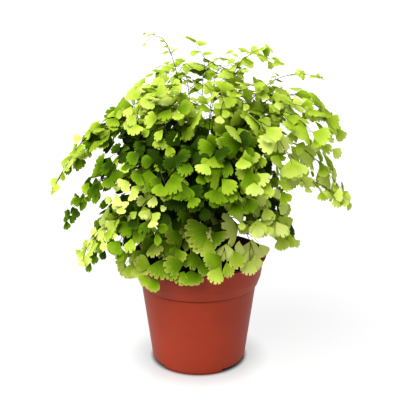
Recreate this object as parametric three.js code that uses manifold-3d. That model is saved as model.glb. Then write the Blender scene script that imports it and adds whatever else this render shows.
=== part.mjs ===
// A maidenhair fern growing in a thin plastic nursery pot. Millimetres, +Z up. The pot stands on
// z = 0 with its axis on Z; azimuths are in degrees, 0 toward +X and 270 toward -Y, the front.
import * as THREE from 'three';
import { mergeVertices } from 'three/addons/utils/BufferGeometryUtils.js';
import Module from 'manifold-3d';

const wasm = await Module();
wasm.setup();

// ---- Driving dimensions ----

const GAP = 0.3; // clearance between touching pieces
const WELD = 1e-3; // vertices closer than this are one

const pot = {
  height: 99,
  footRadius: 41.8, // outside, on the ground
  neckRadius: 51.4, // outside, just under the collar
  neckHeight: 73,
  collarLowRadius: 55.5, // the collar's lower edge slopes out to this
  collarLowHeight: 80,
  collarTopRadius: 58,
  rimRadius: 60, // the lip stands out from the collar
  rimThickness: 2.4,
  wall: 1.1,
  floorHeight: 6, // top of the raised floor
  floorThickness: 1.2,
  drainRadius: 4.5,
  drainCircle: 29,
  drainCount: 8,
  drainSides: 12,
  notchHeight: 3, // gaps in the foot ring that let water out
  notchAngle: 45,
  notchCount: 3,
  firstNotch: 299.5, // azimuth where the first gap starts
  footCut: 4, // how far a gap's cut reaches past the foot ring, inside and out
  lipRound: 0.5, // bevel of the lip's edge
  sides: 42,
};

const soil = {
  edgeHeight: 92,
  shoulderRadius: 36,
  shoulderHeight: 94.2,
  crownHeight: 95.5, // around the crown
  recessRadius: 24, // the crown sits in this recess
  recessHeight: 88,
  sides: 40,
};

const crown = { edgeHeight: 95.8, topHeight: 98.5, sides: 32 };

// A frond's main stalk. The turn keeps its ridges out of the pinnae's planes.
const stalk = { radius: 0.75, sides: 4, steps: 5, turn: 0.35 };

const pinna = {
  thickness: 0.8,
  rootHalf: 0.3, // half its width where it leaves the stalk, inside the stalk
  halfWidth: 0.42, // half its greatest width, for each millimetre of length
  shoulder: 0.75, // how far along it is widest
  shortening: 0.62, // the topmost one is this much shorter than the lowest
  lowAngle: 68, // from the stalk's own direction
  angleFall: 30, // how much the angle narrows toward the tip
  droop: 0.25,
};

const tipPinna = { share: 0.985, angle: 10, length: 0.3, droop: 0 };

// A kind of frond: the ring of the crown that it grows from, how much of its curve is bare
// stipe, the length of its lowest pinna, and how many pinnae it has.
const kinds = {
  wisp: { ring: 4.5, bare: 0.62, span: 15, pinnae: 3, sway: 5 },
  fine: { ring: 7, bare: 0.62, span: 30, pinnae: 4, sway: 6 },
  arch: { ring: 12, bare: 0.42, span: 34, pinnae: 4, sway: 9 },
  lace: { ring: 15, bare: 0.45, span: 24, pinnae: 4, sway: 6 },
  fall: { ring: 17, bare: 0.4, span: 30, pinnae: 4, sway: 8 },
  rim: { ring: 21, bare: 0.45, span: 21, pinnae: 3, sway: 4 },
};

// Every frond: its kind, the azimuth it leans toward, how far out its tip is from the pot's
// axis, the height that pulls its arch up, and its tip's height.
const fronds = [
  ['wisp', 188, 44, 308, 282],
  ['fine', 84, 37, 290, 258],
  ['wisp', 22, 118, 268, 248],
  ['fine', 6, 58, 292, 266],
  ['fine', 345, 58, 268, 240],
  ['fine', 170, 48, 262, 238],
  ['fine', 215, 48, 268, 234],
  ['fine', 300, 46, 268, 232],
  ['fine', 112, 48, 280, 250],
  ['fine', 60, 60, 280, 250],
  ['arch', 203, 60, 268, 222],
  ['arch', 184, 76, 254, 206],
  ['arch', 230, 56, 262, 212],
  ['lace', 181, 123, 264, 162],
  ['lace', 193, 113, 206, 140],
  ['lace', 206, 108, 168, 116],
  ['fall', 192, 90, 150, 106],
  ['arch', 163, 88, 240, 204],
  ['arch', 210, 94, 230, 170],
  ['lace', 222, 88, 218, 162],
  ['lace', 238, 78, 200, 156],
  ['arch', 172, 104, 236, 184],
  ['arch', 247, 80, 232, 182],
  ['arch', 265, 84, 234, 180],
  ['arch', 288, 86, 240, 178],
  ['arch', 306, 88, 246, 178],
  ['arch', 322, 98, 258, 194],
  ['arch', 337, 108, 262, 206],
  ['arch', 353, 115, 264, 212],
  ['arch', 347, 121, 240, 160],
  ['arch', 9, 112, 266, 220],
  ['arch', 28, 100, 262, 212],
  ['lace', 341, 124, 198, 158],
  ['fall', 318, 84, 200, 142],
  ['fall', 300, 86, 204, 146],
  ['fall', 283, 84, 210, 166],
  ['fall', 262, 78, 208, 168],
  ['fall', 240, 80, 192, 146],
  ['fall', 219, 86, 176, 126],
  ['fall', 331, 84, 178, 126],
  ['fall', 4, 80, 172, 118],
  ['arch', 45, 94, 232, 186],
  ['arch', 68, 88, 226, 176],
  ['rim', 90, 72, 136, 98],
  ['arch', 112, 88, 224, 174],
  ['arch', 136, 92, 226, 178],
  ['fall', 30, 84, 176, 118],
  ['fall', 58, 86, 176, 116],
  ['fall', 84, 86, 172, 112],
  ['fall', 110, 86, 172, 112],
  ['fall', 140, 88, 174, 116],
  ['fall', 168, 88, 180, 124],
  ['rim', 214, 68, 150, 102],
  ['rim', 240, 68, 158, 98],
  ['rim', 262, 64, 162, 106],
  ['rim', 290, 66, 164, 112],
  ['rim', 318, 64, 158, 112],
].map(([kind, azimuth, reach, peak, tip]) => ({ ...kinds[kind], azimuth, reach, peak, tip }));

// ---- Turning geometry into solids and back ----

function toSolid(geometry) {
  geometry.deleteAttribute('normal');
  geometry.deleteAttribute('uv');
  const merged = mergeVertices(geometry, WELD);
  const mesh = new wasm.Mesh({
    numProp: 3,
    vertProperties: merged.attributes.position.array,
    triVerts: new Uint32Array(merged.index.array),
  });
  return new wasm.Manifold(mesh);
}

function toGeometry(solid) {
  const { vertProperties, triVerts } = solid.getMesh();
  const geometry = new THREE.BufferGeometry();
  geometry.setAttribute('position', new THREE.BufferAttribute(vertProperties, 3));
  geometry.setIndex(new THREE.BufferAttribute(triVerts, 1));
  geometry.computeVertexNormals();
  return geometry;
}

// A solid of revolution about Z, from [radius, height] points that start and end on the axis.
function lathe(points, sides) {
  const profile = points.map(([radius, height]) => new THREE.Vector2(radius, height));
  return toSolid(new THREE.LatheGeometry(profile, sides).rotateX(Math.PI / 2));
}

const radians = THREE.MathUtils.degToRad;

// A repeatable number from 0 to 1 for each whole seed.
function chance(seed) {
  const value = Math.sin(seed * 12.9898) * 43758.5453;
  return value - Math.floor(value);
}

// ---- The pot ----

function potShell() {
  const { wall, floorHeight, floorThickness, height } = pot;
  const taper = (pot.neckRadius - pot.footRadius) / pot.neckHeight;
  const outerAt = (z) => pot.footRadius + taper * z;
  return lathe(
    [
      [0, floorHeight - floorThickness],
      [outerAt(floorHeight - floorThickness) - wall, floorHeight - floorThickness],
      [pot.footRadius - wall, 0],
      [pot.footRadius, 0],
      [pot.neckRadius, pot.neckHeight],
      [pot.collarLowRadius, pot.collarLowHeight],
      [pot.collarTopRadius, height - pot.rimThickness],
      [pot.rimRadius - pot.lipRound, height - pot.rimThickness],
      [pot.rimRadius, height - pot.rimThickness / 2],
      [pot.rimRadius - pot.lipRound, height],
      [pot.collarTopRadius - wall, height],
      [pot.collarLowRadius - wall, pot.collarLowHeight],
      [pot.neckRadius - wall, pot.neckHeight],
      [outerAt(floorHeight) - wall, floorHeight],
      [0, floorHeight],
    ],
    pot.sides,
  );
}

function drainHole(index) {
  const depth = 3 * pot.floorThickness;
  const angle = (2 * Math.PI * (index + 0.5)) / pot.drainCount;
  const hole = new THREE.CylinderGeometry(pot.drainRadius, pot.drainRadius, depth, pot.drainSides);
  hole.rotateX(Math.PI / 2);
  hole.translate(
    pot.drainCircle * Math.cos(angle),
    pot.drainCircle * Math.sin(angle),
    pot.floorHeight - pot.floorThickness / 2,
  );
  return toSolid(hole);
}

function footNotch(index) {
  const start = radians(pot.firstNotch + (index * 360) / pot.notchCount);
  const end = start + radians(pot.notchAngle);
  const sector = new THREE.Shape();
  sector.absarc(0, 0, pot.footRadius + pot.footCut, start, end, false);
  sector.absarc(0, 0, pot.footRadius - pot.footCut, end, start, true);
  const block = new THREE.ExtrudeGeometry(sector, {
    depth: pot.notchHeight + 1,
    curveSegments: 8,
    bevelEnabled: false,
  });
  return toSolid(block.translate(0, 0, -1));
}

function makePot() {
  let shell = potShell();
  for (let i = 0; i < pot.drainCount; i += 1) shell = shell.subtract(drainHole(i));
  for (let i = 0; i < pot.notchCount; i += 1) shell = shell.subtract(footNotch(i));
  return shell;
}

// ---- The soil, and the crown that the fronds grow from ----

// The soil fills the pot up to a low dome, with a recess for the crown.
function makeSoil() {
  const inset = pot.wall + GAP;
  const taper = (pot.neckRadius - pot.footRadius) / pot.neckHeight;
  const floor = pot.floorHeight + GAP;
  const collarSlope = (pot.collarTopRadius - pot.collarLowRadius)
    / (pot.height - pot.rimThickness - pot.collarLowHeight);
  const edgeRadius = pot.collarLowRadius + collarSlope * (soil.edgeHeight - pot.collarLowHeight);
  return lathe(
    [
      [0, floor],
      [pot.footRadius + taper * floor - inset, floor],
      [pot.neckRadius - inset - GAP, pot.neckHeight],
      [pot.collarLowRadius - inset - GAP, pot.collarLowHeight],
      [edgeRadius - inset - GAP, soil.edgeHeight],
      [soil.shoulderRadius, soil.shoulderHeight],
      [soil.recessRadius, soil.crownHeight],
      [soil.recessRadius, soil.recessHeight],
      [0, soil.recessHeight],
    ],
    soil.sides,
  );
}

function crownTop(radius) {
  const fall = crown.topHeight - crown.edgeHeight;
  return crown.topHeight - fall * (radius / (soil.recessRadius - GAP)) ** 2;
}

function makeCrown() {
  const side = soil.recessRadius - GAP;
  const dome = [0, 0.25, 0.5, 0.75, 1].map((share) => [share * side, crownTop(share * side)]);
  const under = soil.recessHeight + GAP;
  return lathe([[0, under], [side, under], ...dome.reverse()], crown.sides);
}

// ---- The fronds ----

const up = new THREE.Vector3(0, 0, 1);

const outward = ({ azimuth }) => new THREE.Vector3(
  Math.cos(radians(azimuth)),
  Math.sin(radians(azimuth)),
  0,
);

const sideways = ({ azimuth }) => new THREE.Vector3(
  -Math.sin(radians(azimuth)),
  Math.cos(radians(azimuth)),
  0,
);

// A frond's main stalk rises from the crown, arches over and falls away toward its tip.
function frondCurve(frond, index) {
  const { ring, reach, peak, tip } = frond;
  const base = crownTop(ring) + GAP;
  const sway = frond.sway * (2 * chance(index + 1) - 1);
  const at = (distance, height, shift) => outward(frond).multiplyScalar(distance)
    .addScaledVector(up, height)
    .addScaledVector(sideways(frond), shift);
  return new THREE.CubicBezierCurve3(
    at(ring, base, 0),
    at(ring + 0.1 * reach, base + 0.72 * (peak - base), 0),
    at(ring + 0.5 * (reach - ring), peak, 0.4 * sway),
    at(reach, tip, sway),
  );
}

function stalkSolid(curve) {
  const ring = Array.from({ length: stalk.sides }, (_, i) => {
    const angle = (2 * Math.PI * i) / stalk.sides + stalk.turn;
    return new THREE.Vector2(stalk.radius * Math.cos(angle), stalk.radius * Math.sin(angle));
  });
  const tube = new THREE.ExtrudeGeometry(new THREE.Shape(ring), {
    steps: stalk.steps,
    extrudePath: curve,
    bevelEnabled: false,
  });
  return toSolid(tube);
}

// One pinna with its leaflets, as a thin fan that opens away from the stalk along +X. The extra
// margin makes a larger fan, used to keep pinnae clear of each other.
function fan(length, margin) {
  const half = pinna.halfWidth * length + margin;
  const root = pinna.rootHalf + margin;
  const end = length + margin;
  const outline = new THREE.Shape([
    new THREE.Vector2(0, -root),
    new THREE.Vector2(pinna.shoulder * end, -half),
    new THREE.Vector2(end, 0),
    new THREE.Vector2(pinna.shoulder * end, half),
    new THREE.Vector2(0, root),
  ]);
  const depth = pinna.thickness + 2 * margin;
  const plate = new THREE.ExtrudeGeometry(outline, { depth, bevelEnabled: false });
  return plate.translate(0, 0, -depth / 2);
}

// Where each pinna leaves the stalk: alternately left and right, shorter and closer to the
// stalk's own direction toward the tip, and the last one at the very tip.
function pinnaPlaces(frond) {
  const places = [];
  for (let i = 0; i < frond.pinnae; i += 1) {
    const inLeaf = i / frond.pinnae;
    places.push({
      share: frond.bare + (1 - frond.bare) * inLeaf,
      side: i % 2 ? 1 : -1,
      angle: radians(pinna.lowAngle - pinna.angleFall * inLeaf),
      length: frond.span * (1 - pinna.shortening * inLeaf),
      droop: pinna.droop,
    });
  }
  const { share, angle, length, droop } = tipPinna;
  places.push({ share, side: 1, angle: radians(angle), length: length * frond.span, droop });
  return places;
}

// The point a share of the way along the stalk, and the direction there. The stalk's solid is
// straight between its sections.
function onStalk(curve, share) {
  const sections = curve.getSpacedPoints(stalk.steps);
  const index = Math.min(Math.floor(share * stalk.steps), stalk.steps - 1);
  const along = sections[index + 1].clone().sub(sections[index]).normalize();
  const point = sections[index].lerp(sections[index + 1], share * stalk.steps - index);
  return { point, along };
}

// The frame a pinna's fan is laid in: X along the pinna, Z its upper side, tilted by `twist`.
function pinnaFrame(frond, curve, place, twist) {
  const { point, along } = onStalk(curve, place.share);
  const across = sideways(frond).multiplyScalar(place.side);
  const x = along.clone().multiplyScalar(Math.cos(place.angle))
    .addScaledVector(across, Math.sin(place.angle))
    .addScaledVector(up, -place.droop)
    .normalize();
  const upper = new THREE.Vector3().crossVectors(along, sideways(frond)).negate();
  if (upper.z < 0) upper.negate();
  const y = new THREE.Vector3().crossVectors(upper, x).normalize().applyAxisAngle(x, twist);
  const z = new THREE.Vector3().crossVectors(x, y);
  return new THREE.Matrix4().makeBasis(x, y, z).setPosition(point);
}

function withBox(owner, solid) {
  const { min, max } = solid.boundingBox();
  const box = new THREE.Box3(new THREE.Vector3(...min), new THREE.Vector3(...max));
  return { owner, solid, box };
}

function isClear(candidate, placed) {
  return placed.every((other) => other.owner === candidate.owner
    || !other.box.intersectsBox(candidate.box)
    || other.solid.intersect(candidate.solid).isEmpty());
}

const twists = [0, 25, -25, 50, -50, 80].map(radians);
const shrinks = [1, 0.7];

// Lays one pinna where it touches nothing: turned about itself, or smaller, if it has to be.
function placePinna(frond, owner, curve, place, placed) {
  for (const shrink of shrinks) {
    for (const twist of twists) {
      const frame = pinnaFrame(frond, curve, place, twist);
      const length = shrink * place.length;
      const roomy = withBox(owner, toSolid(fan(length, GAP).applyMatrix4(frame)));
      if (isClear(roomy, placed)) {
        placed.push(roomy);
        return toSolid(fan(length, 0).applyMatrix4(frame));
      }
    }
  }
  return null;
}

function makeFronds(fixtures) {
  const curves = fronds.map(frondCurve);
  const solids = curves.map(stalkSolid);
  const placed = [...fixtures.map((solid) => withBox('fixture', solid))];
  solids.forEach((solid, index) => placed.push(withBox(index, solid)));
  fronds.forEach((frond, index) => {
    for (const place of pinnaPlaces(frond)) {
      const plate = placePinna(frond, index, curves[index], place, placed);
      if (plate) solids[index] = solids[index].add(plate);
    }
  });
  return solids;
}

// ---- The object ----

const looks = {
  pot: { color: 0xa8452f, roughness: 0.5, metalness: 0 },
  soil: { color: 0x1c1510, roughness: 1, metalness: 0 },
  crown: { color: 0x2a1d12, roughness: 0.9, metalness: 0 },
  frond: { color: 0x8fb53a, roughness: 0.6, metalness: 0 },
};

const group = new THREE.Group();

function addPiece(name, solid, look) {
  const mesh = new THREE.Mesh(toGeometry(solid), new THREE.MeshStandardMaterial(look));
  mesh.name = name;
  group.add(mesh);
}

const potSolid = makePot();
const soilSolid = makeSoil();
const crownSolid = makeCrown();
addPiece('pot', potSolid, looks.pot);
addPiece('soil', soilSolid, looks.soil);
addPiece('crown', crownSolid, looks.crown);
makeFronds([potSolid, soilSolid, crownSolid]).forEach((solid, index) => {
  addPiece(`frond_${String(index + 1).padStart(2, '0')}`, solid, looks.frond);
});

export default group;
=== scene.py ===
import math
from random import Random

import bmesh
import bpy
from mathutils import Matrix, Vector, noise


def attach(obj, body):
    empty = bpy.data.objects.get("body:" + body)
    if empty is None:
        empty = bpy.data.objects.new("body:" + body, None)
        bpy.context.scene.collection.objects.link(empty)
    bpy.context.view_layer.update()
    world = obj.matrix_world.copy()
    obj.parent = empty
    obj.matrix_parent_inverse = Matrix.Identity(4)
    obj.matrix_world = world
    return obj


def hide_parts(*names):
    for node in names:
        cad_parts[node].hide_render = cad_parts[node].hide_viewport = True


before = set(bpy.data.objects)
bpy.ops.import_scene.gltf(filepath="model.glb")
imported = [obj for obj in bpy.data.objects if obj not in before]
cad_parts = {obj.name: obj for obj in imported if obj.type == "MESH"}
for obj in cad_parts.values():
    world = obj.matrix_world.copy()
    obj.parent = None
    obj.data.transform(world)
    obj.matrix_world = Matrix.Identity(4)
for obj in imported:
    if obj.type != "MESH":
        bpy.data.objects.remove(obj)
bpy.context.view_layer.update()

MM = 0.001
UP = Vector((0, 0, 1))

# ---- The pot's and the soil's driving sizes, as in the CAD ----

POT_HEIGHT = 99
POT_FOOT_RADIUS = 41.8
POT_NECK_RADIUS, POT_NECK_HEIGHT = 51.4, 73
POT_COLLAR_LOW_RADIUS, POT_COLLAR_LOW_HEIGHT = 55.5, 80
POT_COLLAR_TOP_RADIUS = 58
POT_RIM_RADIUS, POT_RIM_THICKNESS = 60, 2.4
POT_WALL = 1.1
POT_FLOOR_HEIGHT, POT_FLOOR_THICKNESS = 6, 1.2
DRAIN_RADIUS, DRAIN_CIRCLE, DRAIN_COUNT = 4.5, 29, 8
NOTCH_HEIGHT, NOTCH_ANGLE, NOTCH_COUNT, FIRST_NOTCH = 3, 45, 3, 299.5

SOIL_EDGE_HEIGHT, SOIL_CROWN_HEIGHT = 92, 95.5
CROWN_RADIUS, CROWN_EDGE_HEIGHT, CROWN_TOP_HEIGHT = 23.7, 95.8, 98.5

# ---- Details that only the visual has ----

NECK_GROOVE, NECK_STEP, NECK_STEP_OUT = 0.6, 1.3, 1.7  # under the collar, past the neck's radius
WALL_RING_HEIGHTS = (3, 8, 20, 35, 50, 62, 70, 71.6)
POT_COLUMNS = 160
NOTCH_EDGE = 0.35  # half the angle over which a notch's end rises
LIP_STEPS = 6

SOIL_RINGS, SOIL_COLUMNS = 60, 150
SOIL_DOME_RADIUS, SOIL_DOME_RISE = 55.4, 0.6
CRUMB_COUNT, DEAD_STALK_COUNT = 70, 5

# ---- The fronds ----

STALK_STEPS, STALK_SIDES = 26, 7
PINNA_STEPS, PINNA_SIDES = 5, 5
LARGE, MEDIUM, SMALL = 11, 6, 4  # leaflet radii from which a leaflet gets more lobes and detail
LEAFLET_SPACING = 0.5  # between leaflets along a pinna, for each millimetre of their radius
INSIDE_RADIUS, INSIDE_FADE = 76, 26  # painted shade on the leaves starts here and is full this much closer
BELOW_HEIGHT, BELOW_FADE = 222, 44

# ring, bare, span and sway place a frond's curve and pinnae as the CAD does. Then come the number
# of pinnae and the radius of a leaflet near the base of the leaf.
KINDS = {
    "wisp": dict(ring=4.5, bare=0.62, span=15, sway=5, pinnae=7, leaf=7),
    "fine": dict(ring=7, bare=0.62, span=30, sway=6, pinnae=9, leaf=13.5),
    "arch": dict(ring=12, bare=0.42, span=34, sway=9, pinnae=10, leaf=19),
    "lace": dict(ring=15, bare=0.45, span=24, sway=6, pinnae=12, leaf=12),
    "fall": dict(ring=17, bare=0.4, span=30, sway=8, pinnae=8, leaf=18),
    "rim": dict(ring=21, bare=0.45, span=21, sway=4, pinnae=5, leaf=23),
}

# Kind, azimuth, reach, peak and tip height, as in the CAD, and how light its green is, 0 to 1: partly
# the green's own variation, partly painted shade on fronds that sit in the canopy's shade and painted
# light on fronds in the open.
FRONDS = [
    ("wisp", 188, 44, 308, 282, 0.75),
    ("fine", 84, 37, 290, 258, 0.7),
    ("wisp", 22, 118, 268, 248, 0.7),
    ("fine", 6, 58, 292, 266, 0.65),
    ("fine", 345, 58, 268, 240, 0.6),
    ("fine", 170, 48, 262, 238, 0.6),
    ("fine", 215, 48, 268, 234, 0.75),
    ("fine", 300, 46, 268, 232, 0.65),
    ("fine", 112, 48, 280, 250, 0.55),
    ("fine", 60, 60, 280, 250, 0.6),
    ("arch", 203, 60, 268, 222, 0.65),
    ("arch", 184, 76, 254, 206, 0.5),
    ("arch", 230, 56, 262, 212, 0.6),
    ("lace", 181, 123, 264, 162, 0.65),
    ("lace", 193, 113, 206, 140, 0.1),
    ("lace", 206, 108, 168, 116, 0.85),
    ("fall", 192, 90, 150, 106, 0.05),
    ("arch", 163, 88, 240, 204, 0.35),
    ("arch", 210, 94, 230, 170, 0.15),
    ("lace", 222, 88, 218, 162, 0.9),
    ("lace", 238, 78, 200, 156, 0.85),
    ("arch", 172, 104, 236, 184, 0.35),
    ("arch", 247, 80, 232, 182, 0.1),
    ("arch", 265, 84, 234, 180, 0.12),
    ("arch", 288, 86, 240, 178, 0.3),
    ("arch", 306, 88, 246, 178, 0.6),
    ("arch", 322, 98, 258, 194, 0.7),
    ("arch", 337, 108, 262, 206, 0.65),
    ("arch", 353, 115, 264, 212, 0.6),
    ("arch", 347, 121, 240, 160, 0.65),
    ("arch", 9, 112, 266, 220, 0.5),
    ("arch", 28, 100, 262, 212, 0.4),
    ("lace", 341, 124, 198, 158, 0.85),
    ("fall", 318, 84, 200, 142, 0.95),
    ("fall", 300, 86, 204, 146, 0.9),
    ("fall", 283, 84, 210, 166, 0.25),
    ("fall", 262, 78, 208, 168, 0.02),
    ("fall", 240, 80, 192, 146, 0.15),
    ("fall", 219, 86, 176, 126, 0.35),
    ("fall", 331, 84, 178, 126, 0.7),
    ("fall", 4, 80, 172, 118, 0.1),
    ("arch", 45, 94, 232, 186, 0.4),
    ("arch", 68, 88, 226, 176, 0.35),
    ("rim", 90, 72, 136, 98, 0.4),
    ("arch", 112, 88, 224, 174, 0.35),
    ("arch", 136, 92, 226, 178, 0.4),
    ("fall", 30, 84, 176, 118, 0.25),
    ("fall", 58, 86, 176, 116, 0.25),
    ("fall", 84, 86, 172, 112, 0.25),
    ("fall", 110, 86, 172, 112, 0.25),
    ("fall", 140, 88, 174, 116, 0.25),
    ("fall", 168, 88, 180, 124, 0.25),
    ("rim", 214, 68, 150, 102, 0.65),
    ("rim", 240, 68, 158, 98, 0.35),
    ("rim", 262, 64, 162, 106, 0.25),
    ("rim", 290, 66, 164, 112, 0.6),
    ("rim", 318, 64, 158, 112, 1),
]


def chance(seed):
    """A repeatable number from 0 to 1 for each whole seed, as in the CAD."""
    value = math.sin(seed * 12.9898) * 43758.5453
    return value - math.floor(value)


class Path:
    """A Bezier curve through its length: at(share) gives a point and the direction there."""

    def __init__(self, controls, samples=48):
        self.points = [bezier(controls, i / samples) for i in range(samples + 1)]
        self.reached = [0.0]
        for before, after in zip(self.points, self.points[1:]):
            self.reached.append(self.reached[-1] + (after - before).length)

    def at(self, share):
        goal = min(max(share, 0), 1) * self.reached[-1]
        index = 0
        while index < len(self.points) - 2 and self.reached[index + 1] < goal:
            index += 1
        before, after = self.points[index], self.points[index + 1]
        part = (goal - self.reached[index]) / (self.reached[index + 1] - self.reached[index])
        return before.lerp(after, part), (after - before).normalized()


def bezier(controls, t):
    """The point at t on the Bezier curve with these control points."""
    points = list(controls)
    while len(points) > 1:
        points = [a.lerp(b, t) for a, b in zip(points, points[1:])]
    return points[0]


def outward(azimuth):
    return Vector((math.cos(math.radians(azimuth)), math.sin(math.radians(azimuth)), 0))


def sideways(azimuth):
    return Vector((-math.sin(math.radians(azimuth)), math.cos(math.radians(azimuth)), 0))


def crown_top(radius):
    fall = CROWN_TOP_HEIGHT - CROWN_EDGE_HEIGHT
    return CROWN_TOP_HEIGHT - fall * (radius / CROWN_RADIUS) ** 2


def frond_path(index):
    """A frond's main stalk: up from the crown, over an arch and down to its tip."""
    kind, azimuth, reach, peak, tip, _ = FRONDS[index]
    ring = KINDS[kind]["ring"]
    sway = KINDS[kind]["sway"] * (2 * chance(index + 1) - 1)
    base = crown_top(ring) - 1.5

    def at(distance, height, shift):
        return outward(azimuth) * distance + UP * height + sideways(azimuth) * shift

    return Path([
        at(ring, base, 0),
        at(ring + 0.1 * reach, base + 0.72 * (peak - base), 0),
        at(ring + 0.5 * (reach - ring), peak, 0.4 * sway),
        at(reach, tip, sway),
    ])


# ---- Meshes ----


class Shape:
    """Vertices, faces and per-vertex values of one piece, gathered before its mesh is made."""

    def __init__(self, *value_names):
        self.points = []
        self.faces = []
        self.values = {name: [] for name in value_names}

    def add(self, point, *values):
        self.points.append(point)
        for name, value in zip(self.values, values):
            self.values[name].append(value)
        return len(self.points) - 1

    def make(self, name, material, slot, *replaced):
        mesh = bpy.data.meshes.new(name)
        mesh.from_pydata([point * MM for point in self.points], [], self.faces)
        for value_name, values in self.values.items():
            layer = mesh.attributes.new(value_name, "FLOAT", "POINT")
            layer.data.foreach_set("value", values)
        mesh.polygons.foreach_set("use_smooth", [True] * len(mesh.polygons))
        mesh.set_sharp_from_angle(angle=math.radians(48))
        mesh.materials.append(material)
        piece = bpy.data.objects.new(name, mesh)
        bpy.context.collection.objects.link(piece)
        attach(piece, "root")
        if replaced:
            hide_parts(*replaced)
        return piece


def add_tube(shape, points, radii, sides):
    """A closed tube with flat ends through the points."""
    normal = None
    rings = []
    for i, point in enumerate(points):
        ahead = points[min(i + 1, len(points) - 1)] - points[max(i - 1, 0)]
        along = ahead.normalized()
        if normal is None:
            normal = along.orthogonal().normalized()
        normal = (normal - along * normal.dot(along)).normalized()
        across = along.cross(normal)
        ring = []
        for j in range(sides):
            angle = 2 * math.pi * j / sides
            offset = normal * math.cos(angle) + across * math.sin(angle)
            ring.append(shape.add(point + offset * radii[i]))
        rings.append(ring)
    for lower, upper in zip(rings, rings[1:]):
        for j in range(sides):
            k = (j + 1) % sides
            shape.faces.append((lower[j], lower[k], upper[k], upper[j]))
    shape.faces.append(tuple(reversed(rings[0])))
    shape.faces.append(tuple(rings[-1]))


# ---- Leaflets ----


ROUND_CENTRE, ROUND_LENGTH = 0.62, 0.38  # the blade's round end, as shares of its radius


def round_end(angle, half):
    """How far out the blade's edge is at this angle: its straight sides run into an ellipse."""
    width = math.tan(half) * math.sqrt(ROUND_CENTRE ** 2 - ROUND_LENGTH ** 2)
    cosine, sine = math.cos(angle), math.sin(angle)
    square = (cosine / ROUND_LENGTH) ** 2 + (sine / width) ** 2
    linear = ROUND_CENTRE * cosine / ROUND_LENGTH ** 2
    constant = (ROUND_CENTRE / ROUND_LENGTH) ** 2 - 1
    return (linear + math.sqrt(max(linear ** 2 - square * constant, 0))) / square


def notches(u, lobes, depth, teeth):
    """What lobes and teeth leave of the edge, at u from -0.5 to 0.5 across it."""
    lobe = abs(math.sin(math.pi * lobes * (u + 0.5))) ** 0.5
    tooth = abs(math.sin(math.pi * teeth * (u + 0.5)))
    edge = (1 - depth + depth * lobe) * (0.93 + 0.07 * tooth)
    return 1 - (1 - edge) * min(1, 6 * (0.5 - abs(u)))


def leaflet_columns(radius):
    """How many steps a fan's edge needs: more on a larger leaflet."""
    return 36 if radius > 9 else 24 if radius > MEDIUM else 14 if radius > SMALL else 8


def add_leaflet(shape, base, along, upper, radius, tone_with_painted_shade, blush, rng):
    """One fan-shaped blade that opens from base toward along, its upper side toward upper."""
    half = math.radians(rng.uniform(38, 60))
    skew = math.radians(rng.uniform(-14, 14))
    lobes = rng.choice((4, 5, 6) if radius > LARGE else (2, 3, 4) if radius > MEDIUM else (1, 2))
    depth = rng.uniform(0.11, 0.23) if radius > LARGE else rng.uniform(0.07, 0.18)
    teeth = 2 * lobes
    cup = rng.uniform(0.0, 0.22)
    fold = rng.uniform(-0.08, 0.2)
    wave = rng.uniform(0.015, 0.045)
    phase = rng.uniform(0, 6.28)
    columns = leaflet_columns(radius)
    rows = (0.4, 0.75, 1.0) if radius > MEDIUM else (0.5, 1.0)
    thick = 0.13 if radius > MEDIUM else 0.1

    x = along.normalized()
    z = (upper - x * upper.dot(x)).normalized()
    y = z.cross(x)

    def place(share, angle, reach, side):
        px = share * reach * math.cos(angle)
        py = share * reach * math.sin(angle)
        run = share * reach / radius
        pz = radius * (-cup * run * run - fold * (py / radius) ** 2)
        pz += radius * wave * run * run * math.sin(5 * angle + phase)
        return base + x * px + y * py + z * (pz + side * thick * (1 - 0.5 * share))

    layers = []
    for side in (1, -1):
        root = shape.add(place(0, 0, 0, side), tone_with_painted_shade, blush, 0, 0)
        grid = []
        for share in rows:
            row = []
            for i in range(columns + 1):
                u = 0.5 * math.sin(math.pi * (i / columns - 0.5))
                angle = 2 * u * half
                reach = radius * round_end(angle, half) * notches(u, lobes, depth * share, teeth)
                angle += skew * share
                row.append(shape.add(place(share, angle, reach, side), tone_with_painted_shade, blush, share, angle))
            grid.append(row)
        layers.append((root, grid))

    (top_root, top), (low_root, low) = layers
    for i in range(columns):
        shape.faces.append((top_root, top[0][i], top[0][i + 1]))
        shape.faces.append((low_root, low[0][i + 1], low[0][i]))
        for inner, outer in zip(top, top[1:]):
            shape.faces.append((inner[i], outer[i], outer[i + 1], inner[i + 1]))
        for inner, outer in zip(low, low[1:]):
            shape.faces.append((inner[i + 1], outer[i + 1], outer[i], inner[i]))
        shape.faces.append((top[-1][i], low[-1][i], low[-1][i + 1], top[-1][i + 1]))
    for column, flip in ((0, True), (columns, False)):
        chain_top = [top_root] + [row[column] for row in top]
        chain_low = [low_root] + [row[column] for row in low]
        for a, b, c, d in zip(chain_top, chain_top[1:], chain_low[1:], chain_low):
            shape.faces.append((a, d, c, b) if flip else (a, b, c, d))


# ---- One frond ----

FRONT = Vector((0, -1, 0))


def hanging(point):
    """How much leaflets hang: not at all at the plant's top, fully at the pot's rim."""
    return min(max((270 - point.z) / 150, 0), 1)


def canopy_painted_shade(point):
    """From 0 on the plant's outside to 1 deep inside and low down, where painted shade darkens the
    leaves as the canopy above would shade them.
    """
    out_from_axis = math.hypot(point.x, point.y)
    inside = min(max((INSIDE_RADIUS - out_from_axis) / INSIDE_FADE, 0), 1)
    below = min(max((BELOW_HEIGHT - point.z) / BELOW_FADE, 0), 1)
    return inside * below


def meets_pot(point):
    """Whether a leaflet's end here is too low and too far in to clear the pot's rim."""
    return point.z < POT_HEIGHT + 2 and math.hypot(point.x, point.y) < POT_RIM_RADIUS + 2


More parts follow.
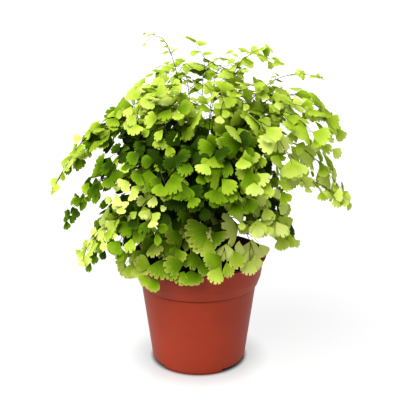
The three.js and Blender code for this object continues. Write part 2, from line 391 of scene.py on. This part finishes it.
def leaf_facing(point, azimuth, rng):
    """The way a leaflet's upper side turns: up to the light at the top, outward lower down."""
    jitter = Vector((rng.gauss(0, 1), rng.gauss(0, 1), rng.gauss(0, 1)))
    hang = hanging(point)
    facing = UP * (1 - 0.45 * hang) + outward(azimuth) * (0.3 + 0.6 * hang) + 0.7 * FRONT
    return (facing + 0.27 * jitter).normalized()


def add_pinna(stalks, blades, start, heading, length, kind_leaf, frond, rng):
    """A side branch with leaflets on both sides and one at its end."""
    azimuth, tone_with_painted_shade, blush = frond
    droop = Vector((0, 0, -1))
    hang = hanging(start)
    middle = start + heading * (0.5 * length)
    end = middle + (heading + (0.15 + 0.5 * hang) * droop).normalized() * (0.5 * length)
    path = Path([start, middle, end], samples=8)
    points = [path.at(i / PINNA_STEPS)[0] for i in range(PINNA_STEPS + 1)]
    radii = [0.26 - 0.14 * i / PINNA_STEPS for i in range(PINNA_STEPS + 1)]
    add_tube(stalks, points, radii, PINNA_SIDES)

    count = max(2, round(length / (LEAFLET_SPACING * kind_leaf)))
    for i in range(count):
        share = (i + 0.6) / (count - 0.4)
        last = i == count - 1
        point, tangent = path.at(share)
        across = leaf_facing(point, azimuth, rng).cross(tangent).normalized() * (1 if i % 2 else -1)
        opening = 0 if last else math.radians(rng.uniform(40, 62))
        direction = tangent * math.cos(opening) + across * math.sin(opening)
        direction = (direction + rng.uniform(-0.1, 0.2 + 0.5 * hang) * droop).normalized()
        size = kind_leaf * (1.08 - 0.34 * share) * rng.uniform(0.7, 1.16)
        stem = rng.uniform(0.1, 0.22) * size
        facing = leaf_facing(point, azimuth, rng)
        foot = point + (direction + 0.6 * facing) * stem
        if meets_pot(foot + direction * size):
            continue
        add_tube(stalks, [point, foot], [0.13, 0.1], 4)
        # Painted shade: the leaflet's green is darkened deep inside and low in the plant, where the
        # canopy above would shade it; rim leaflets keep their green.
        shade = tone_with_painted_shade + rng.gauss(0, 0.14) - 0.9 * canopy_painted_shade(point) * (1 - blush)
        add_leaflet(blades, foot, direction, facing, size, shade, blush, rng)


def make_frond(index, leaf_material, stalk_material):
    # The frond's listed green is partly painted shade and painted light, for where the frond sits in
    # the canopy.
    kind, azimuth, _, _, _, frond_tone_with_painted_shade = FRONDS[index]
    style = KINDS[kind]
    rng = Random(1000 + index)
    path = frond_path(index)
    stalks = Shape()
    blades = Shape("tone_with_painted_shade", "blush", "out", "turn")
    blush = 1.0 if kind == "rim" else 0.0

    points = [path.at(i / STALK_STEPS)[0] for i in range(STALK_STEPS + 1)]
    radii = [0.62 - 0.46 * (i / STALK_STEPS) ** 1.1 for i in range(STALK_STEPS + 1)]
    add_tube(stalks, points, radii, STALK_SIDES)

    for i in range(style["pinnae"]):
        in_leaf = i / style["pinnae"]
        share = style["bare"] + (1 - style["bare"]) * in_leaf
        point, tangent = path.at(share)
        side = 1 if i % 2 else -1
        angle = math.radians(68 - 30 * in_leaf + rng.uniform(-8, 8))
        heading = tangent * math.cos(angle) + sideways(azimuth) * (side * math.sin(angle))
        heading = (heading - 0.1 * UP + 0.2 * leaf_facing(point, azimuth, rng)).normalized()
        length = style["span"] * (1 - 0.5 * in_leaf) * rng.uniform(0.85, 1.1)
        leaf = style["leaf"] * (1 - 0.25 * in_leaf)
        frond = (azimuth, frond_tone_with_painted_shade, blush)
        add_pinna(stalks, blades, point, heading, length, leaf, frond, rng)
    point, tangent = path.at(1)
    facing = leaf_facing(point, azimuth, rng)
    add_leaflet(blades, point, tangent, facing, 0.6 * style["leaf"], frond_tone_with_painted_shade, blush, rng)

    name = f"frond_{index + 1:02d}"
    stalks.make(f"{name}_stalk", stalk_material, "stalk", name)
    blades.make(f"{name}_leaflets", leaf_material, "leaf", name)


# ---- Materials ----


def new_material(name):
    material = bpy.data.materials.new(name)
    material.use_nodes = True
    tree = material.node_tree
    tree.nodes.clear()
    return material, tree


def add_node(tree, kind, settings=None, **inputs):
    """A node with its settings, and its inputs set to values or linked to other sockets."""
    node = tree.nodes.new(kind)
    for key, value in (settings or {}).items():
        setattr(node, key, value)
    for key, value in inputs.items():
        socket = node.inputs[key.replace("_", " ")]
        if isinstance(value, bpy.types.NodeSocket):
            tree.links.new(value, socket)
        else:
            socket.default_value = value
    return node


def attribute(tree, name):
    return add_node(tree, "ShaderNodeAttribute", {"attribute_name": name}).outputs["Fac"]


def math_node(tree, operation, first, second=0.0, clamp=False):
    node = tree.nodes.new("ShaderNodeMath")
    node.operation = operation
    node.use_clamp = clamp
    for socket, value in zip(node.inputs, (first, second)):
        if isinstance(value, bpy.types.NodeSocket):
            tree.links.new(value, socket)
        else:
            socket.default_value = value
    return node.outputs[0]


def ramp(tree, factor, stops):
    """A colour ramp through (position, colour) stops."""
    node = add_node(tree, "ShaderNodeValToRGB", Fac=factor)
    elements = node.color_ramp.elements
    while len(elements) < len(stops):
        elements.new(0.5)
    for element, (position, colour) in zip(elements, stops):
        element.position = position
        element.color = (*colour, 1)
    return node.outputs["Color"]


def mix_colour(tree, factor, first, second, blend="MIX"):
    node = tree.nodes.new("ShaderNodeMix")
    node.data_type = "RGBA"
    node.blend_type = blend
    for name, value in (("Factor", factor), ("A", first), ("B", second)):
        socket = next(s for s in node.inputs if s.name == name and s.enabled)
        if isinstance(value, bpy.types.NodeSocket):
            tree.links.new(value, socket)
        else:
            socket.default_value = (*value, 1) if name != "Factor" else value
    return next(s for s in node.outputs if s.enabled)


def leaf_material():
    """Thin soft leaf: fresh yellow-green to deeper green, fine fanned veins, light shining through.
    The greens carry painted shade and painted light from the tone attribute.
    """
    material, tree = new_material("fern_leaf")
    place = add_node(tree, "ShaderNodeTexCoord").outputs["Object"]
    patch = add_node(tree, "ShaderNodeTexNoise", Vector=place, Scale=70.0, Detail=2.0).outputs["Fac"]
    # The tone attribute is each leaflet's green with the painted shade and painted light of where it
    # sits in the plant.
    tone_with_painted_shade = math_node(tree, "ADD", attribute(tree, "tone_with_painted_shade"), math_node(tree, "MULTIPLY", patch, 0.35))
    paler = math_node(tree, "MULTIPLY", attribute(tree, "out"), 0.3)
    tone_with_painted_shade = math_node(tree, "ADD", tone_with_painted_shade, paler)
    tone_with_painted_shade = math_node(tree, "SUBTRACT", tone_with_painted_shade, 0.375, clamp=True)
    body = ramp(tree, tone_with_painted_shade, [
        (0.0, (0.035, 0.078, 0.002)),
        (0.25, (0.16, 0.275, 0.006)),
        (0.5, (0.37, 0.505, 0.045)),
        (0.75, (0.56, 0.675, 0.14)),
        (1.0, (0.72, 0.79, 0.28)),
    ])
    turn = attribute(tree, "turn")
    fan = math_node(tree, "SINE", math_node(tree, "MULTIPLY", turn, 46.0))
    vein = math_node(tree, "MULTIPLY", fan, attribute(tree, "out"))
    veined = mix_colour(tree, math_node(tree, "MULTIPLY", vein, 0.12, clamp=True),
                        body, (0.62, 0.75, 0.2))
    edge = math_node(tree, "POWER", attribute(tree, "out"), 14.0)
    blush = math_node(tree, "MULTIPLY", edge, attribute(tree, "blush"))
    colour = mix_colour(tree, math_node(tree, "MULTIPLY", blush, 0.4), veined, (0.9, 0.72, 0.4))
    bump = add_node(tree, "ShaderNodeBump", Strength=0.25, Distance=0.0003, Height=vein)
    surface = add_node(tree, "ShaderNodeBsdfPrincipled", Base_Color=colour, Roughness=0.5,
                       Normal=bump.outputs["Normal"])
    surface.inputs["Specular IOR Level"].default_value = 0.06
    through = add_node(tree, "ShaderNodeBsdfTranslucent", Color=colour)
    both = add_node(tree, "ShaderNodeMixShader", Fac=0.22)
    tree.links.new(surface.outputs[0], both.inputs[1])
    tree.links.new(through.outputs[0], both.inputs[2])
    add_node(tree, "ShaderNodeOutputMaterial", Surface=both.outputs[0])
    return material


def stalk_material():
    """Wiry polished stalks, near black with a red-brown cast."""
    material, tree = new_material("fern_stalk")
    place = add_node(tree, "ShaderNodeTexCoord").outputs["Object"]
    grain = add_node(tree, "ShaderNodeTexNoise", Vector=place, Scale=160.0).outputs["Fac"]
    colour = ramp(tree, grain, [(0.3, (0.012, 0.006, 0.004)), (0.75, (0.06, 0.024, 0.012))])
    surface = add_node(tree, "ShaderNodeBsdfPrincipled", Base_Color=colour, Roughness=0.35)
    add_node(tree, "ShaderNodeOutputMaterial", Surface=surface.outputs[0])
    return material


def pot_material():
    """Terracotta-coloured plastic: satin, slightly mottled, dusty, with a few scuffs."""
    material, tree = new_material("pot_plastic")
    place = add_node(tree, "ShaderNodeTexCoord").outputs["Object"]
    cloud = add_node(tree, "ShaderNodeTexNoise", Vector=place, Scale=28.0, Detail=4.0).outputs["Fac"]
    colour = ramp(tree, cloud, [(0.3, (0.31, 0.042, 0.012)), (0.7, (0.36, 0.05, 0.015))])
    speck = add_node(tree, "ShaderNodeTexVoronoi", Vector=place, Scale=90.0).outputs["Distance"]
    dot = math_node(tree, "LESS_THAN", speck, 0.07)
    colour = mix_colour(tree, math_node(tree, "MULTIPLY", dot, 0.45), colour, (0.09, 0.03, 0.02))
    fine = add_node(tree, "ShaderNodeTexNoise", Vector=place, Scale=900.0, Detail=2.0).outputs["Fac"]
    bump = add_node(tree, "ShaderNodeBump", Strength=0.12, Distance=0.0002, Height=fine)
    rough = math_node(tree, "MULTIPLY_ADD", cloud, 0.16)
    rough.node.inputs[2].default_value = 0.34
    surface = add_node(tree, "ShaderNodeBsdfPrincipled", Base_Color=colour, Roughness=rough,
                       Normal=bump.outputs["Normal"])
    add_node(tree, "ShaderNodeOutputMaterial", Surface=surface.outputs[0])
    return material


def soil_material():
    """Dark moist peat with lighter crumbs."""
    material, tree = new_material("potting_soil")
    place = add_node(tree, "ShaderNodeTexCoord").outputs["Object"]
    crumb = add_node(tree, "ShaderNodeTexNoise", Vector=place, Scale=420.0, Detail=6.0).outputs["Fac"]
    colour = ramp(tree, crumb, [
        (0.35, (0.006, 0.004, 0.003)),
        (0.6, (0.022, 0.014, 0.009)),
        (0.8, (0.07, 0.045, 0.028)),
    ])
    bump = add_node(tree, "ShaderNodeBump", Strength=0.8, Distance=0.001, Height=crumb)
    surface = add_node(tree, "ShaderNodeBsdfPrincipled", Base_Color=colour, Roughness=0.95,
                       Normal=bump.outputs["Normal"])
    add_node(tree, "ShaderNodeOutputMaterial", Surface=surface.outputs[0])
    return material


# ---- The pot ----


def pot_outer(height):
    """The tapered wall's outside radius below the neck."""
    taper = (POT_NECK_RADIUS - POT_FOOT_RADIUS) / POT_NECK_HEIGHT
    return POT_FOOT_RADIUS + taper * height


def pot_profile():
    """(radius, height) round the shell, from the underside's middle out, up, over and back in."""
    under = POT_FLOOR_HEIGHT - POT_FLOOR_THICKNESS
    lip_low = POT_HEIGHT - POT_RIM_THICKNESS
    lip_middle = POT_HEIGHT - POT_RIM_THICKNESS / 2
    lip_round = POT_RIM_THICKNESS / 2
    profile = [(0, under), (20, under), (36, under), (pot_outer(under) - POT_WALL - 0.6, under)]
    profile += [(pot_outer(under) - POT_WALL, under - 0.6), (POT_FOOT_RADIUS - POT_WALL, 0.25)]
    profile += [(POT_FOOT_RADIUS - POT_WALL + 0.25, 0), (POT_FOOT_RADIUS - 0.25, 0)]
    profile += [(pot_outer(0.25), 0.25)]
    profile += [(pot_outer(h), h) for h in WALL_RING_HEIGHTS]
    profile += [(POT_NECK_RADIUS - NECK_GROOVE, POT_NECK_HEIGHT - 0.7)]
    profile += [(POT_NECK_RADIUS + NECK_STEP, POT_NECK_HEIGHT - 0.1)]
    profile += [(POT_NECK_RADIUS + NECK_STEP_OUT, POT_NECK_HEIGHT + 0.6)]
    profile += [(POT_COLLAR_LOW_RADIUS - 0.5, POT_COLLAR_LOW_HEIGHT - 0.7)]
    profile += [(POT_COLLAR_LOW_RADIUS, POT_COLLAR_LOW_HEIGHT + 0.3)]
    profile += [(POT_COLLAR_LOW_RADIUS + 1.2, 88), (POT_COLLAR_TOP_RADIUS, lip_low - 0.8)]
    profile += [(POT_COLLAR_TOP_RADIUS + 0.3, lip_low - 0.1)]
    for i in range(LIP_STEPS + 1):
        angle = -math.pi / 2 + math.pi * i / LIP_STEPS
        out = POT_RIM_RADIUS - lip_round + lip_round * math.cos(angle)
        profile.append((out, lip_middle + lip_round * math.sin(angle)))
    profile += [(POT_COLLAR_TOP_RADIUS - POT_WALL + 0.5, POT_HEIGHT)]
    profile += [(POT_COLLAR_TOP_RADIUS - POT_WALL, POT_HEIGHT - 0.5)]
    profile += [(POT_COLLAR_LOW_RADIUS - POT_WALL, POT_COLLAR_LOW_HEIGHT)]
    profile += [(POT_NECK_RADIUS - POT_WALL, POT_NECK_HEIGHT)]
    profile += [(pot_outer(h) - POT_WALL, h) for h in (50, 25, POT_FLOOR_HEIGHT + 1)]
    profile += [(pot_outer(POT_FLOOR_HEIGHT) - POT_WALL - 1, POT_FLOOR_HEIGHT), (0, POT_FLOOR_HEIGHT)]
    return profile


def in_notch(azimuth):
    """True where the foot ring is cut away to let water out."""
    return (azimuth - FIRST_NOTCH) % (360 / NOTCH_COUNT) < NOTCH_ANGLE


def pot_azimuths():
    """Azimuths of the shell's columns: even steps, and a close pair at each end of a notch."""
    even = [i * 360 / POT_COLUMNS for i in range(POT_COLUMNS)]
    edges = []
    for i in range(NOTCH_COUNT):
        start = FIRST_NOTCH + i * 360 / NOTCH_COUNT
        for end in (start, start + NOTCH_ANGLE):
            edges += [end - NOTCH_EDGE, end + NOTCH_EDGE]
    edges = [edge % 360 for edge in edges]
    far = [a for a in even if all(abs((a - e + 180) % 360 - 180) > 0.8 for e in edges)]
    return sorted(far + edges)


def make_pot(material):
    shape = Shape()
    profile = pot_profile()
    azimuths = pot_azimuths()
    columns = []
    for azimuth in azimuths:
        lift = NOTCH_HEIGHT if in_notch(azimuth) else 0
        column = []
        for radius, height in profile[1:-1]:
            foot = height < NOTCH_HEIGHT and radius > 30
            raised = lift + 0.4 * height if foot and lift else height
            column.append(shape.add(outward(azimuth) * radius + UP * raised))
        columns.append(column)
    low = shape.add(UP * profile[0][1])
    high = shape.add(UP * profile[-1][1])
    for i, column in enumerate(columns):
        after = columns[(i + 1) % len(columns)]
        for a, b, c, d in zip(column, after, after[1:], column[1:]):
            shape.faces.append((a, b, c, d))
        shape.faces.append((low, after[0], column[0]))
        shape.faces.append((high, column[-1], after[-1]))
    pot = shape.make("pot_shell", material, "pot_plastic", "pot")
    cut_drain_holes(pot)
    return pot


def cut_drain_holes(pot):
    drill = bmesh.new()
    for i in range(DRAIN_COUNT):
        azimuth = 360 * (i + 0.5) / DRAIN_COUNT
        place = outward(azimuth) * DRAIN_CIRCLE + UP * (POT_FLOOR_HEIGHT - POT_FLOOR_THICKNESS / 2)
        bmesh.ops.create_cone(drill, cap_ends=True, segments=24, radius1=DRAIN_RADIUS * MM,
                              radius2=DRAIN_RADIUS * MM, depth=4 * POT_FLOOR_THICKNESS * MM,
                              matrix=Matrix.Translation(place * MM))
    mesh = bpy.data.meshes.new("drill")
    drill.to_mesh(mesh)
    drill.free()
    cutter = bpy.data.objects.new("drill", mesh)
    bpy.context.collection.objects.link(cutter)
    cut = pot.modifiers.new("drain", "BOOLEAN")
    cut.operation = "DIFFERENCE"
    cut.solver = "EXACT"
    cut.object = cutter
    apply_modifiers(pot)
    bpy.data.objects.remove(cutter)


def apply_modifiers(piece):
    """Replaces the piece's mesh by its result after modifiers, and clears them."""
    graph = bpy.context.evaluated_depsgraph_get()
    graph.update()
    result = bpy.data.meshes.new_from_object(piece.evaluated_get(graph))
    piece.modifiers.clear()
    piece.data = result


# ---- The soil and the crown ----


def soil_height(radius):
    """The height of the soil's low dome, before its bumps."""
    share = min(radius / SOIL_DOME_RADIUS, 1)
    top = SOIL_CROWN_HEIGHT + SOIL_DOME_RISE
    return top - (top - SOIL_EDGE_HEIGHT) * share ** 1.6


def soil_bumps(point):
    coarse = noise.noise(point * 0.09)
    middle = noise.noise(point * 0.33 + Vector((7, 3, 1)))
    fine = noise.noise(point * 1.1 + Vector((2, 9, 4)))
    return 1.0 * coarse + 0.9 * middle + 0.45 * fine


def make_soil(material):
    shape = Shape()
    edge = POT_COLLAR_LOW_RADIUS - POT_WALL - 0.4 + 1.7
    rows, columns = SOIL_RINGS, SOIL_COLUMNS
    middle = shape.add(UP * soil_height(0))
    rings = []
    for i in range(1, rows + 1):
        radius = edge * i / rows
        ring = []
        for j in range(columns):
            spot = outward(360 * j / columns) * radius
            ring.append(shape.add(spot + UP * (soil_height(radius) + soil_bumps(spot))))
        rings.append(ring)
    inset = POT_WALL + 0.35
    sides = [(POT_COLLAR_LOW_RADIUS - inset, POT_COLLAR_LOW_HEIGHT),
             (POT_NECK_RADIUS - inset, POT_NECK_HEIGHT),
             (pot_outer(POT_FLOOR_HEIGHT) - inset, POT_FLOOR_HEIGHT + 0.3)]
    for radius, height in sides:
        rings.append([shape.add(outward(360 * j / columns) * radius + UP * height)
                      for j in range(columns)])
    bottom = shape.add(UP * (POT_FLOOR_HEIGHT + 0.3))
    for j in range(columns):
        k = (j + 1) % columns
        shape.faces.append((middle, rings[0][j], rings[0][k]))
        for inner, outer in zip(rings, rings[1:]):
            shape.faces.append((inner[j], outer[j], outer[k], inner[k]))
        shape.faces.append((bottom, rings[-1][k], rings[-1][j]))
    return shape.make("potting_soil", material, "soil", "soil")


def make_litter(material):
    """Bits of bark and dead stalk on the soil, and a few old stalks bent over the rim."""
    shape = Shape()
    rng = Random(7)
    for _ in range(CRUMB_COUNT):
        spot = outward(rng.uniform(0, 360)) * rng.uniform(26, 53)
        spot += UP * (soil_height(spot.length) + soil_bumps(spot) + 0.3)
        heading = outward(rng.uniform(0, 360)) + UP * rng.uniform(-0.1, 0.25)
        length = rng.uniform(2.5, 8)
        thick = rng.uniform(0.25, 0.8)
        points = [spot - heading * (0.5 * length), spot + UP * 0.2, spot + heading * (0.5 * length)]
        add_tube(shape, points, [0.6 * thick, thick, 0.5 * thick], 6)
    for _ in range(DEAD_STALK_COUNT):
        azimuth = rng.uniform(184, 200)
        drop = rng.uniform(5, 13)
        lip = POT_HEIGHT + 0.4
        outside = POT_RIM_RADIUS + 0.5
        points = [
            outward(azimuth - 3) * 52 + UP * (SOIL_EDGE_HEIGHT + 1.5),
            outward(azimuth - 1) * (POT_RIM_RADIUS - 3) + UP * lip,
            outward(azimuth) * (POT_RIM_RADIUS - 0.6) + UP * (lip + 0.3),
            outward(azimuth + 1) * outside + UP * (lip - 2.5),
            outward(azimuth + rng.uniform(0, 3)) * outside + UP * (lip - 2.5 - drop),
        ]
        add_tube(shape, points, [0.35, 0.35, 0.35, 0.3, 0.2], 6)
    return shape.make("soil_litter", material, "stalk")


def make_crown(material):
    """The knot of rhizomes: a low lumpy dome at the middle of the soil."""
    ball = bmesh.new()
    bmesh.ops.create_icosphere(ball, subdivisions=5, radius=1)
    shape = Shape()
    for vertex in ball.verts:
        wide = Vector((vertex.co.x, vertex.co.y, 0)) * (CROWN_RADIUS - 1.5)
        lump = 1.6 * noise.noise(vertex.co * 6) + 0.7 * noise.noise(vertex.co * 17)
        height = 90.5 + vertex.co.z * 7.2
        shape.add(wide * (1 + 0.04 * lump) + UP * (height + lump))
    shape.faces = [tuple(v.index for v in face.verts) for face in ball.faces]
    ball.free()
    return shape.make("rhizome_crown", material, "stalk", "crown")


# ---- Stage, light and camera ----


FLOOR_HALF = 30  # metres
FLOOR_SEEN, FLOOR_GLOW = 0.66, 0.55  # how brightly the floor shows, and how it lights the plant
FLOOR_FADE_RADIUS = 0.5  # metres over which the glow grows from nothing under the pot to full: a painted shadow on the floor around the pot
SKY_LIGHT = 0.27
KEY_LIGHT = 3.4
FILL_LIGHT = 0.5
CAMERA_PLACE, CAMERA_DOWN = (0, -0.620, 0.314), 15.1  # metres, degrees
CAMERA_LENS, CAMERA_SENSOR, CAMERA_SHIFT = 66.15, 36, 0.00325


def make_stage():
    """A wide white floor that glows. Its glow is painted dark under the pot and dimmer around it: a
    painted shadow where a cast shadow would be.
    """
    mesh = bpy.data.meshes.new("floor")
    corners = [(x * FLOOR_HALF, y * FLOOR_HALF, 0) for x, y in ((-1, -1), (1, -1), (1, 1), (-1, 1))]
    mesh.from_pydata(corners, [], [(0, 1, 2, 3)])
    material, tree = new_material("white_floor")
    surface = add_node(tree, "ShaderNodeBsdfPrincipled", Base_Color=(0.12, 0.12, 0.12, 1),
                       Roughness=0.16)
    surface.inputs["Emission Color"].default_value = (1, 1, 1, 1)
    place = add_node(tree, "ShaderNodeTexCoord").outputs["Object"]
    away = add_node(tree, "ShaderNodeVectorMath", {"operation": "LENGTH"}, Vector=place)
    away = math_node(tree, "DIVIDE", away.outputs["Value"], FLOOR_FADE_RADIUS)
    # Painted shadow: the floor's glow is near nothing under the pot and dimmer for half a metre around
    # it.
    painted_floor_shadow = ramp(tree, away, [
        (0.081, (0.02, 0.02, 0.02)),
        (0.09, (0.66, 0.66, 0.66)),
        (0.13, (0.88, 0.88, 0.88)),
        (0.4, (0.87, 0.87, 0.87)),
        (1.0, (1, 1, 1)),
    ])
    seen = add_node(tree, "ShaderNodeLightPath").outputs["Is Camera Ray"]
    glow = math_node(tree, "MULTIPLY_ADD", seen, FLOOR_SEEN - FLOOR_GLOW)
    glow.node.inputs[2].default_value = FLOOR_GLOW
    glow = math_node(tree, "MULTIPLY", glow, painted_floor_shadow)
    tree.links.new(glow, surface.inputs["Emission Strength"])
    add_node(tree, "ShaderNodeOutputMaterial", Surface=surface.outputs[0])
    mesh.materials.append(material)
    floor = bpy.data.objects.new("floor", mesh)
    bpy.context.collection.objects.link(floor)


def add_sun(name, toward, spread, strength):
    """A wide soft light from the direction `toward`; spread is its width in degrees."""
    sun = bpy.data.lights.new(name, "SUN")
    sun.energy = strength
    sun.angle = math.radians(spread)
    lamp = bpy.data.objects.new(name, sun)
    lamp.rotation_euler = Vector(toward).to_track_quat("Z", "Y").to_euler()
    bpy.context.collection.objects.link(lamp)


def make_light():
    """An even white sky that gives less light than it shows, a key light and a weak fill."""
    world = bpy.data.worlds.new("studio")
    world.use_nodes = True
    tree = world.node_tree
    background = tree.nodes["Background"]
    background.inputs["Color"].default_value = (1, 1, 1, 1)
    seen = add_node(tree, "ShaderNodeLightPath").outputs["Is Camera Ray"]
    strength = math_node(tree, "MULTIPLY_ADD", seen, 1 - SKY_LIGHT)
    strength.node.inputs[2].default_value = SKY_LIGHT
    tree.links.new(strength, background.inputs["Strength"])
    bpy.context.scene.world = world
    add_sun("key", (-0.5, -0.55, 1), 50, KEY_LIGHT)
    add_sun("fill", (1, -0.45, 0.45), 60, FILL_LIGHT)


def make_camera():
    """Stands in front and a little above, looking 15 degrees down."""
    camera = bpy.data.cameras.new("camera")
    camera.sensor_width = CAMERA_SENSOR
    camera.lens = CAMERA_LENS
    camera.shift_x = CAMERA_SHIFT
    camera.clip_start = 0.01
    holder = bpy.data.objects.new("camera", camera)
    holder.location = CAMERA_PLACE
    holder.rotation_euler = (math.radians(90 - CAMERA_DOWN), 0, 0)
    bpy.context.collection.objects.link(holder)
    bpy.context.scene.camera = holder


make_camera()
make_light()
make_stage()
bpy.context.scene.view_settings.view_transform = "Standard"
bpy.context.scene.view_settings.look = "High Contrast"

make_pot(pot_material())
make_soil(soil_material())
stalk = stalk_material()
make_crown(stalk)
make_litter(stalk)
leaf = leaf_material()
for number in range(len(FRONDS)):
    make_frond(number, leaf, stalk)
